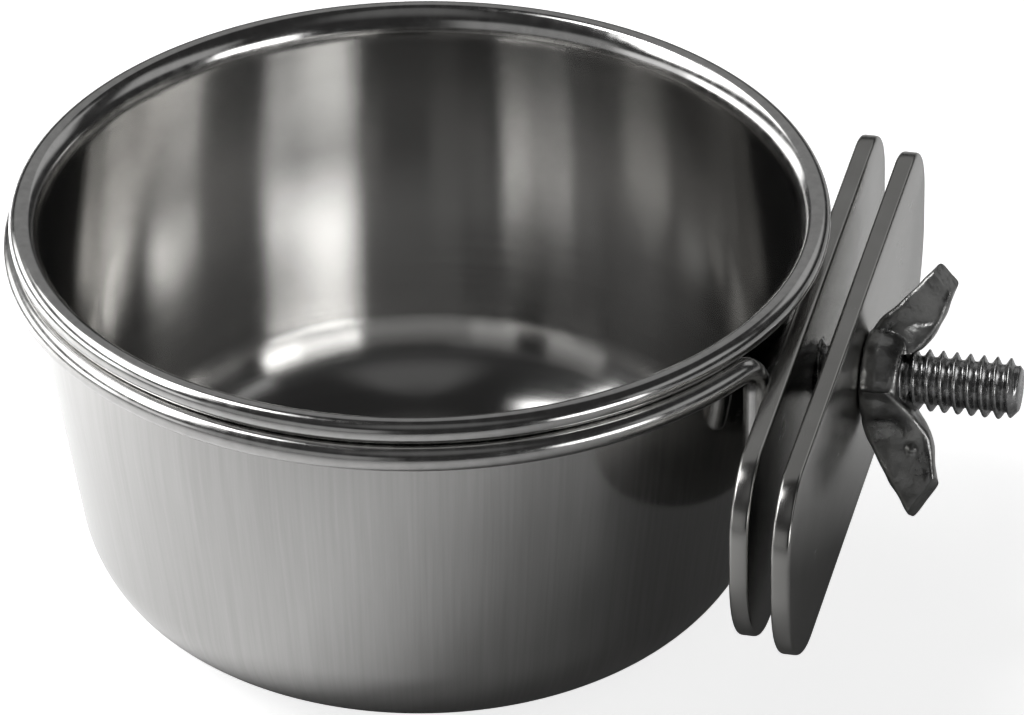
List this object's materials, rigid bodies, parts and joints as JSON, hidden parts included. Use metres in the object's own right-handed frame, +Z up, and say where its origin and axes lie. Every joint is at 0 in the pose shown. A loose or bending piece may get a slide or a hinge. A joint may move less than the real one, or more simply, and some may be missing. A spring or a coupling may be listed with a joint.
{
  "type": "clamp-on cage seed cup",
  "caption": "Small round metal feed cup in a wire ring with a two-plate clamp and wing nut that grips cage wires.",
  "frame": {"origin": "middle of the cup's base, on the surface that it stands on", "axes": "+Z up along the cup's axis, +X from the cup towards the clamp and along its stud, +Y across the plates"},
  "size_m": [0.0795, 0.0646, 0.0335],
  "materials": {
    "cup_steel": "drawn and polished stainless steel",
    "wire_steel": "drawn stainless wire",
    "weld_metal": "dull weld",
    "plate_steel": "tumbled stainless plate",
    "bolt_steel": "bright plated thread",
    "nut_metal": "cast zinc alloy, plated, slightly uneven"
  },
  "bodies": {
    "holder": {"holder_ring": "wire_steel", "ring_welds": "weld_metal", "inner_jaw": "plate_steel", "bolt_weld": "weld_metal", "clamp_bolt": "bolt_steel"},
    "cup": {"cup": "cup_steel"},
    "outer_jaw": {"outer_jaw": "plate_steel"},
    "wing_nut": {"wing_nut": "nut_metal"}
  },
  "joints": [
    {"name": "cup_lift", "type": "slide", "parent": "holder", "child": "cup", "axis": [0, 0, 1], "range_m": [0, 0.036]},
    {"name": "jaw_slide", "type": "slide", "parent": "holder", "child": "outer_jaw", "axis": [1, 0, 0], "range_m": [-0.00202, 0.009]},
    {"name": "nut_turn", "type": "hinge", "parent": "outer_jaw", "child": "wing_nut", "pos_m": [0.03513, 0, 0.02247], "axis": [1, 0, 0], "range_deg": [-688, 3063]}
  ],
  "couplings": [
    {"joint": "nut_turn", "follows": "jaw_slide", "rad_per_m": 5938.7}
  ]
}
